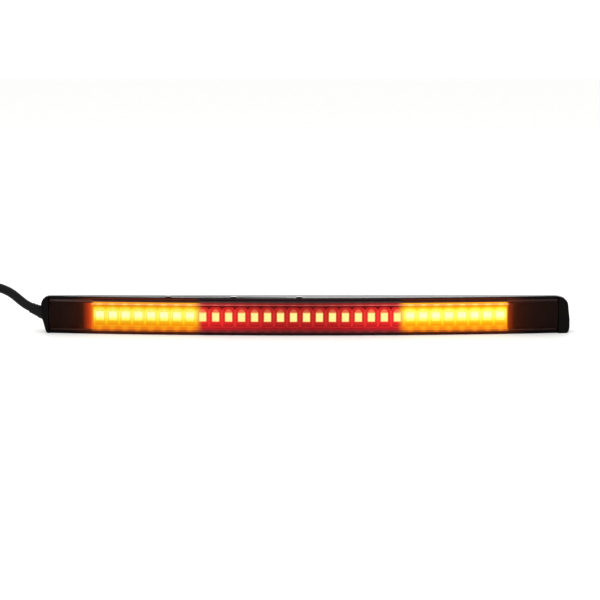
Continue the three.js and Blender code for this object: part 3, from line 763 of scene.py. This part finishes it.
# ---- Operators ----
class LIGHTBAR_OT_stage(Operator):
    """Sets the floor, the soft studio light and the camera"""

    bl_idname = "lightbar.stage"
    bl_label = "Stage"

    def execute(self, context):
        sizes = context.scene.light_bar_sizes
        colours = context.scene.light_bar_colours
        scene = context.scene
        scene.view_settings.view_transform = "Standard"
        floor = bmesh.new()
        bmesh.ops.create_grid(floor, x_segments=4, y_segments=4, size=4.0)
        mesh = bpy.data.meshes.new("studio_floor")
        floor.to_mesh(mesh)
        floor.free()
        mesh.materials.append(studio_paint())
        floor_piece = bpy.data.objects.new("studio_floor", mesh)
        scene.collection.objects.link(floor_piece)

        world = bpy.data.worlds.new("studio_world")
        world.use_nodes = True
        sky = world.node_tree.nodes["Background"].inputs
        sky["Color"].default_value = tuple(colours.sky) + (1.0,)
        sky["Strength"].default_value = colours.sky_strength
        scene.world = world

        for name, place, size, watts in (
            ("soft_key", (-0.35, -0.45, 0.9), (0.7, 0.7), 3.0),
            ("soft_back", (0.0, 1.3, 0.36), (1.6, 0.45), 8.0),
        ):
            light = bpy.data.lights.new(name, "AREA")
            light.shape = "RECTANGLE"
            light.size, light.size_y = size
            light.energy = watts
            lamp = bpy.data.objects.new(name, light)
            lamp.location = place
            lamp.rotation_euler = (-Vector(place)).to_track_quat("-Z", "Y").to_euler()
            lamp.visible_camera = False
            scene.collection.objects.link(lamp)

        lens = bpy.data.cameras.new("studio_camera")
        lens.lens = 100
        lens.sensor_width = 36
        lens.clip_start = 0.01
        camera = bpy.data.objects.new("studio_camera", lens)
        aim = Vector(CAMERA_AIM)
        up = sizes.camera_elevation
        camera.location = aim + Vector((0, -math.cos(up), math.sin(up))) * sizes.camera_distance
        camera.rotation_euler = (math.pi / 2 - up, 0, 0)
        scene.collection.objects.link(camera)
        scene.camera = camera
        return {"FINISHED"}


def grommet_shape():
    """A collar in the wall and a tapered neck with three bend-relief grooves, spun round its axis."""
    bore, collar, neck, tip = 1.82, 2.45, 2.35, 1.93  # radii
    inside, outside = -2.4, 4.6  # ends along the axis
    profile = [(bore, inside), (collar, inside), (collar, 0.3), (neck, 0.55)]
    for groove in range(3):
        at = 1.0 + groove * 1.1
        edge = neck - 0.09 * (at - 0.55)
        floor = edge - 0.16
        profile += [(edge, at), (floor, at + 0.12), (floor, at + 0.38), (edge - 0.05, at + 0.5)]
    profile += [(2.02, outside - 0.2), (tip, outside), (bore, outside)]
    bm = spun([(radius, 0, along) for radius, along in profile], (0, 0, 1), 40)
    turn = Matrix.Rotation(EXIT_TILT - math.pi / 2, 4, "Y")
    bmesh.ops.transform(bm, matrix=Matrix.Translation(EXIT) @ turn, verts=bm.verts[:])
    return bm


def tie_shape(x, run_y, top, width, head_side):
    """A nylon tie: a band round the runs, its ratchet head on one side, and the trimmed tail."""
    bm = bmesh.new()
    near = run_y - TIE["reach"] - TIE["gap"]
    far = run_y + TIE["reach"] + TIE["gap"]
    band = TIE["band"]
    low = TIE["bottom"]
    left = x - width / 2
    outer = (
        (left, near - band, low), (left, far + band, low),
        (left, far + band, top + band), (left, near - band, top + band),
    )
    inner = ((left, near, low + band), (left, far, low + band), (left, far, top), (left, near, top))
    ring_between(bm, outer, [1.8] * 4, inner, [1.2] * 4, 5)
    grow(bm, bm.faces[:], (width, 0, 0), keep=True)
    bmesh.ops.recalc_face_normals(bm, faces=bm.faces[:])
    round_edges(bm, sharp_edges(bm, 50), 0.1, 1)

    # Ratchet head, with its slot sunk in the top, standing on the band's side.
    side_y = near - band if head_side < 0 else far + band
    head_y = side_y + head_side * 0.85
    head = add_block(bm, (width + 1.4, 2.0, 3.4), (x, head_y, top - 2.6))
    cap = max(head, key=lambda face: face.calc_center_median().z)
    bmesh.ops.inset_individual(bm, faces=[cap], thickness=0.5)
    grow(bm, [cap], (0, 0, -0.5))

    # The tail's trimmed stub stands out of the head.
    add_block(bm, (width - 0.6, 0.6, 1.5), (x, head_y, top - 0.6))
    return bm


def sleeve_shape():
    """Heat-shrink tube: it grips the sheath at one end and shrinks in round the wires at the other."""
    start, end, radius = SLEEVE["start"], SLEEVE["end"], SLEEVE["radius"]
    profile = [
        (1.78, start), (radius, start), (radius + 0.03, start - 0.5), (radius, start - 2.6),
        (radius - 0.06, start - 3.6), (radius - 0.3, start - 4.9), (radius - 0.42, start - 6.5),
        (radius - 0.36, end + 0.5), (radius - 0.32, end), (radius - 0.6, end),
        (radius - 0.62, start - 5.2), (1.72, start - 3.6),
    ]
    bm = spun([(along, radius_here, 0) for radius_here, along in profile], (1, 0, 0), 32)
    bmesh.ops.translate(bm, verts=bm.verts[:], vec=(0, HANK["run_y"], SLEEVE["z"] - 0.15))
    return bm


class LIGHTBAR_OT_lead(Operator):
    """Lays the tail lead, its grommet, ties, sleeve and four bare-ended wires"""

    bl_idname = "lightbar.lead"
    bl_label = "Tail lead"

    def execute(self, context):
        sizes = context.scene.light_bar_sizes
        sheath = soft_black("extruded_black_pvc", "060607", "0d0d0f", (0.42, 0.58), 0.5, 0.03, (0.25, 1, 1))
        rubber = soft_black("moulded_black_rubber", "0a0a0a", "151414", (0.55, 0.72), 0.4, 0.03)
        nylon = soft_black("moulded_black_nylon", "0c0c0d", "161618", (0.3, 0.42), 0.6, 0.02)
        shrink = soft_black("shrunk_polyolefin", "0b0b0c", "17171a", (0.38, 0.55), 0.7, 0.05, (0.3, 1, 1))
        tin = tinned_copper()
        points = lead_points()
        lead = round_line(
            "tail_lead", points, sizes.lead_diameter / MM / 2, sheath,
            ("cable_sheath", "cable_hank"), 7,
        )
        width = sizes.tie_width / MM
        back_y = HANK["run_y"]
        front_run_y = back_y - 2 * HANK["turn"]
        fold_tie = tie_shape(FOLD_TIE_X, back_y, SLEEVE["z"] + SLEEVE["radius"] + 0.2, width, 1)
        middle_tie = tie_shape(MIDDLE_TIE["x"], front_run_y, MIDDLE_TIE["top"], width, -1)
        pieces = [
            finish_piece("lead_grommet", grommet_shape(), [rubber], ["cable_grommet"]),
            finish_piece("tie_at_fold", fold_tie, [nylon], ["hank_tie_1"]),
            finish_piece("tie_at_middle", middle_tie, [nylon], ["hank_tie_2"]),
            finish_piece("end_sleeve", sleeve_shape(), [shrink], ["heat_shrink"]),
        ]
        for name, slot, side, start_z, rest_z, tip_y, colour in WIRES:
            y = back_y + side
            tip = back_y + tip_y
            path = (
                (-171.5, back_y + side * 0.8, (start_z + 10.2) / 2), (-174.5, y, start_z),
                (-179.0, y, rest_z + 0.25), (-184.0, (2 * y + tip) / 3, rest_z),
                (-190.6, (y + 4 * tip) / 5, rest_z),
            )
            bare = (path[-1], (-192.8, (y + 7 * tip) / 8, rest_z), (-195.0, tip, rest_z))
            coat = dyed_pvc(f"{name}_wire_pvc", linear(colour))
            pieces += [
                round_line(f"wire_{name}", path, WIRE_RADIUS, coat, [f"lead_{name}"], 4),
                round_line(f"wire_{name}_end", bare, STRAND_RADIUS, tin, (), 3),
            ]
            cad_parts[f"core_wire_{name}"].material_slots[0].material = coat
        return {"FINISHED"}


def on_outer_rim(point):
    """Whether a point of the housing is on the outline of its back, or of its front at the two ends."""
    at_back = abs(point.y - HOUSING_BACK_Y) < 0.02
    past_window = point.x < WINDOW_LEFT or point.x > WINDOW_RIGHT
    at_front = abs(point.y - front_y(point.x, 0)) < 0.05 and past_window and point.z > 0.9
    return at_back or at_front


class LIGHTBAR_OT_housing(Operator):
    """Shapes the rear housing with softened outer edges"""

    bl_idname = "lightbar.housing"
    bl_label = "Rear housing"

    def execute(self, context):
        sizes = context.scene.light_bar_sizes
        bm = bmesh.new()
        bm.from_mesh(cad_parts["rear_housing"].data)
        bmesh.ops.remove_doubles(bm, verts=bm.verts[:], dist=2e-6)
        bmesh.ops.dissolve_limit(bm, angle_limit=math.radians(0.3), verts=bm.verts[:], edges=bm.edges[:])
        bmesh.ops.scale(bm, verts=bm.verts[:], vec=(1 / MM, 1 / MM, 1 / MM))
        rims = [e for e in sharp_edges(bm, 28) if e.is_convex and all(on_outer_rim(v.co) for v in e.verts)]
        bmesh.ops.bevel(
            bm, geom=rims, offset=sizes.housing_edge / MM, offset_type="OFFSET", affect="EDGES", segments=2,
            profile=0.5, material=-1, clamp_overlap=False,
        )
        bmesh.ops.remove_doubles(bm, verts=bm.verts[:], dist=0.015)
        finish_piece("housing_shell", bm, [moulded_abs()], ["rear_housing"], 25)
        return {"FINISHED"}


class LIGHTBAR_OT_lens(Operator):
    """Shapes the smoked lens: a bevelled plate with two skirts and three snap tabs, masked at its ends"""

    bl_idname = "lightbar.lens"
    bl_label = "Smoked lens"

    def execute(self, context):
        sizes = context.scene.light_bar_sizes
        bm = bar_of(
            (
                (0, LENS_FACE_BOTTOM), (LIP_DEPTH, LENS_BOTTOM), (LENS_BACK, LENS_BOTTOM),
                (LENS_BACK, LENS_TOP), (LIP_DEPTH, LENS_TOP), (0, LENS_FACE_TOP),
            ),
            LENS_LEFT, LENS_RIGHT,
        )
        front = [e for e in sharp_edges(bm, 30) if min(v.co.y for v in e.verts) < LENS_BACK - 0.1]
        round_edges(bm, front, sizes.lens_edge / MM, 3)
        slice_at(bm, 2, (SKIRT_BOTTOM_Z, SKIRT_TOP_Z))
        slice_at(bm, 0, (-SKIRT_END, SKIRT_END))
        slice_at(bm, 0, evenly(LENS_LEFT, LENS_RIGHT, 48))
        slice_at(bm, 0, DARK_BEYOND)
        for x in TAB_XS:
            slice_at(bm, 0, (x - TAB["half"], x + TAB["half"]))
        skirts = []
        for face in bm.faces:
            middle = face.calc_center_median()
            outside = middle.z > SKIRT_TOP_Z or middle.z < SKIRT_BOTTOM_Z
            if abs(middle.y - LENS_BACK) < 1e-4 and outside and abs(middle.x) < SKIRT_END:
                skirts.append(face)
        grow(bm, skirts, (0, SKIRT_BACK - LENS_BACK, 0))
        slice_at(bm, 1, (TAB["front"], TAB["back"]))
        tabs = []
        for face in bm.faces:
            middle = face.calc_center_median()
            on_top = abs(middle.z - LENS_TOP) < 1e-4 and TAB["front"] < middle.y < TAB["back"]
            if on_top and any(abs(middle.x - x) < TAB["half"] for x in TAB_XS):
                tabs.append(face)
        grow(bm, tabs, (0, 0, TAB["top"] - LENS_TOP))
        bmesh.ops.recalc_face_normals(bm, faces=bm.faces[:])
        for face in bm.faces:
            middle = face.calc_center_median()
            if not LENS_FACE_BOTTOM - 0.02 < middle.z < LENS_FACE_TOP + 0.02:
                face.material_index = 1
            elif middle.y > LENS_BACK - 0.01 and not DARK_BEYOND[0] < middle.x < DARK_BEYOND[1]:
                face.material_index = 2
        bow(bm)
        colours = context.scene.light_bar_colours
        # Past the lamps the lens's back is covered in opaque near-black.
        mask = soft_black("opaque_black_lens_back", "040303", "060505", (0.6, 0.75), 0.8, 0.005)
        materials = [smoked_polycarbonate(colours), smoked_polycarbonate(colours, edge=True), mask]
        finish_piece("lens_cover", bm, materials, ["smoked_lens"])
        return {"FINISHED"}


class LIGHTBAR_OT_pocket_plate(Operator):
    """Shapes the divider: a row of round-topped pockets, one round each lamp"""

    bl_idname = "lightbar.pocket_plate"
    bl_label = "Pocket plate"

    def execute(self, context):
        sizes = context.scene.light_bar_sizes
        colours = context.scene.light_bar_colours
        bm = bmesh.new()
        first = ROW_X - LAMP_PITCH * (LAMP_COUNT - 1) / 2
        front = PLATE["front"]
        edge = LAMP_PITCH / 2
        half = POCKET["half"]
        cell = window(first - edge, first + edge, PLATE["bottom"], PLATE["top"], front)
        pocket = window(first - half, first + half, POCKET["bottom"], POCKET["top"], front)
        ring_between(bm, cell, [0] * 4, pocket, [0.4, 0.4, POCKET["round"], POCKET["round"]], 4)
        one_cell = bm.verts[:] + bm.edges[:] + bm.faces[:]
        for i in range(1, LAMP_COUNT):
            made = bmesh.ops.duplicate(bm, geom=one_cell)["geom"]
            bmesh.ops.translate(bm, verts=verts_in(made), vec=(LAMP_PITCH * i, 0, 0))
        bmesh.ops.remove_doubles(bm, verts=bm.verts[:], dist=0.001)
        for end, target in ((-1, PLATE["left"]), (1, PLATE["right"])):
            reach = ROW_X + end * ROW_REACH
            side = [e for e in bm.edges if all(abs(v.co.x - reach) < 0.01 for v in e.verts)]
            made = bmesh.ops.extrude_edge_only(bm, edges=side)["geom"]
            bmesh.ops.translate(bm, verts=verts_in(made), vec=(target - reach, 0, 0))
        grow(bm, bm.faces[:], (0, PLATE["back"] - front, 0), keep=True)
        bmesh.ops.recalc_face_normals(bm, faces=bm.faces[:])
        rims = []
        for e in sharp_edges(bm, 60):
            on_front = all(abs(v.co.y - front) < 1e-4 for v in e.verts)
            inside = all(POCKET["bottom"] - 0.1 < v.co.z < POCKET["top"] + 0.1 for v in e.verts)
            if on_front and inside:
                rims.append(e)
        for face in round_edges(bm, rims, sizes.pocket_rim / MM, 2):
            face.material_index = 1
        bow(bm)
        materials = [lit_reflector(colours), lit_reflector(colours, rim=True)]
        finish_piece("pocket_plate", bm, materials, ["led_divider"])
        return {"FINISHED"}


def lamp_shape():
    """A surface-mount lamp: a cup package with a sunk resin window and four soldered feet."""
    bm = bmesh.new()
    add_block(bm, (LAMP["width"], LAMP["back"] - LAMP["front"], LAMP["height"]))
    upright = [e for e in bm.edges if abs(e.verts[0].co.y - e.verts[1].co.y) > 0.1]
    round_edges(bm, upright, 0.16, 2)
    front = min(bm.faces, key=lambda face: face.calc_center_median().y)
    bmesh.ops.inset_individual(bm, faces=[front], thickness=0.28)
    bmesh.ops.inset_individual(bm, faces=[front], thickness=0.1, depth=-0.12)
    front.material_index = 1
    for edge in front.edges:
        for face in edge.link_faces:
            face.material_index = 1
    for x in (-0.95, 0.95):
        for z in (-1.6, 1.6):
            for face in add_block(bm, (0.55, 0.3, 0.5), (x, 0.54, z)):
                face.material_index = 2
    return bm


class LIGHTBAR_OT_lamps(Operator):
    """Sets the thirty-two lamps in their row: amber, red, amber"""

    bl_idname = "lightbar.lamps"
    bl_label = "Lamps"

    def execute(self, context):
        colours = context.scene.light_bar_colours
        tin = tinned_copper()
        finish = {
            amber: [lit_package(colours, amber, False), lit_package(colours, amber, True), tin]
            for amber in (True, False)
        }
        for i in range(LAMP_COUNT):
            x = ROW_X + (i - (LAMP_COUNT - 1) / 2) * LAMP_PITCH
            amber = i < AMBER_PER_SIDE or i >= LAMP_COUNT - AMBER_PER_SIDE
            if i < AMBER_PER_SIDE:
                node = f"amber_led_left_{i + 1}"
            elif amber:
                node = f"amber_led_right_{i - LAMP_COUNT + AMBER_PER_SIDE + 1}"
            else:
                node = f"red_led_{i - AMBER_PER_SIDE + 1:02d}"
            bm = lamp_shape()
            set_on_bow(bm, x, (LAMP["front"] + LAMP["back"]) / 2, ROW_Z)
            finish_piece(node.replace("led", "lamp"), bm, finish[amber], [node])
        return {"FINISHED"}


class LIGHTBAR_OT_board(Operator):
    """Shapes the bowed circuit board and the gasket in front of it"""

    bl_idname = "lightbar.board"
    bl_label = "Board and gasket"

    def execute(self, context):
        colours = context.scene.light_bar_colours
        end = BOARD["end"]
        section = (
            (BOARD["front"], BOARD["bottom"]), (BOARD["back"], BOARD["bottom"]),
            (BOARD["back"], BOARD["top"]), (BOARD["front"], BOARD["top"]),
        )
        board = bar_of(section, -end, end)
        corners = [e for e in board.edges if abs(e.verts[0].co.y - e.verts[1].co.y) > 0.1]
        round_edges(board, corners, 0.8, 3)
        slice_at(board, 0, evenly(-end, end, 40))
        bow(board)
        finish_piece("lamp_board", board, [lit_board(colours)], ["circuit_board"])

        gasket = bmesh.new()
        near, far = GASKET["front"], GASKET["end"]
        low, high = GASKET["bottom"], GASKET["top"]
        outer = window(-far, far, low, high, near)
        reach = far - GASKET["side"]
        inner = window(-reach, reach, low + GASKET["sill"], high - GASKET["head"], near)
        ring_between(gasket, outer, [0.6] * 4, inner, [0.3] * 4, 3)
        slice_at(gasket, 0, evenly(-far, far, 40))
        grow(gasket, gasket.faces[:], (0, GASKET["back"] - near, 0), keep=True)
        bmesh.ops.recalc_face_normals(gasket, faces=gasket.faces[:])
        bow(gasket)
        rubber = soft_black("die_cut_rubber", "0b0b0b", "161515", (0.7, 0.85), 0.35, 0.03)
        finish_piece("gasket_frame", gasket, [rubber], ["lens_gasket"])
        return {"FINISHED"}


def chip_shape(width, height, depth, cap):
    """A small block part with plated ends this long."""
    bm = bmesh.new()
    add_block(bm, (width, depth, height))
    round_edges(bm, bm.edges[:], 0.08, 2)
    slice_at(bm, 0, (cap - width / 2, width / 2 - cap))
    for face in bm.faces:
        if abs(face.calc_center_median().x) > width / 2 - cap:
            face.material_index = 1
    return bm


class LIGHTBAR_OT_components(Operator):
    """Sets the resistors and diodes on the rear of the board"""

    bl_idname = "lightbar.components"
    bl_label = "Board components"

    def execute(self, context):
        epoxy = soft_black("moulded_epoxy", "101011", "1d1d20", (0.4, 0.55), 0.3, 0.02)
        tin = tinned_copper()
        for kind, xs, width, height, depth, cap, z in CHIPS:
            for i, x in enumerate(xs):
                bm = chip_shape(width, height, depth, cap)
                set_on_bow(bm, x, PART_FRONT + depth / 2, z)
                finish_piece(f"{kind}_body_{i + 1}", bm, [epoxy, tin], [f"{kind}_{i + 1}"])
        return {"FINISHED"}


class LIGHTBAR_OT_tape(Operator):
    """Lays the foam tape and its red release film on the back"""

    bl_idname = "lightbar.tape"
    bl_label = "Adhesive back"

    def execute(self, context):
        for name, node, shape, material, slot in (
            ("foam_strip", "foam_tape", TAPE, acrylic_foam(), "foam"),
            ("release_strip", "tape_liner", LINER, release_film(), "liner"),
        ):
            bm = flat_strip(
                -shape["end"], shape["end"], shape["bottom"], shape["top"], shape["front"], shape["back"],
            )
            finish_piece(name, bm, [material], [node])
        return {"FINISHED"}


STEPS = (
    LIGHTBAR_OT_stage, LIGHTBAR_OT_lead, LIGHTBAR_OT_housing, LIGHTBAR_OT_lens, LIGHTBAR_OT_pocket_plate,
    LIGHTBAR_OT_lamps, LIGHTBAR_OT_board, LIGHTBAR_OT_components, LIGHTBAR_OT_tape,
)


class LIGHTBAR_PT_panel(Panel):
    """Lists the settings and the steps that make the light bar"""

    bl_idname = "LIGHTBAR_PT_panel"
    bl_label = "Light Bar"
    bl_space_type = "VIEW_3D"
    bl_region_type = "UI"
    bl_category = "Light Bar"

    def draw(self, context):
        for group in (context.scene.light_bar_sizes, context.scene.light_bar_colours):
            for name in group.__annotations__:
                self.layout.prop(group, name)
        for step in STEPS:
            self.layout.operator(step.bl_idname)


CLASSES = (LightBarSizes, LightBarColours, *STEPS, LIGHTBAR_PT_panel)


def register():
    for cls in CLASSES:
        bpy.utils.register_class(cls)
    bpy.types.Scene.light_bar_sizes = PointerProperty(type=LightBarSizes)
    bpy.types.Scene.light_bar_colours = PointerProperty(type=LightBarColours)


def unregister():
    del bpy.types.Scene.light_bar_colours
    del bpy.types.Scene.light_bar_sizes
    for cls in reversed(CLASSES):
        bpy.utils.unregister_class(cls)


def main():
    register()
    for step in STEPS:
        group, name = step.bl_idname.split(".")
        getattr(getattr(bpy.ops, group), name)()


if __name__ == "__main__":
    main()
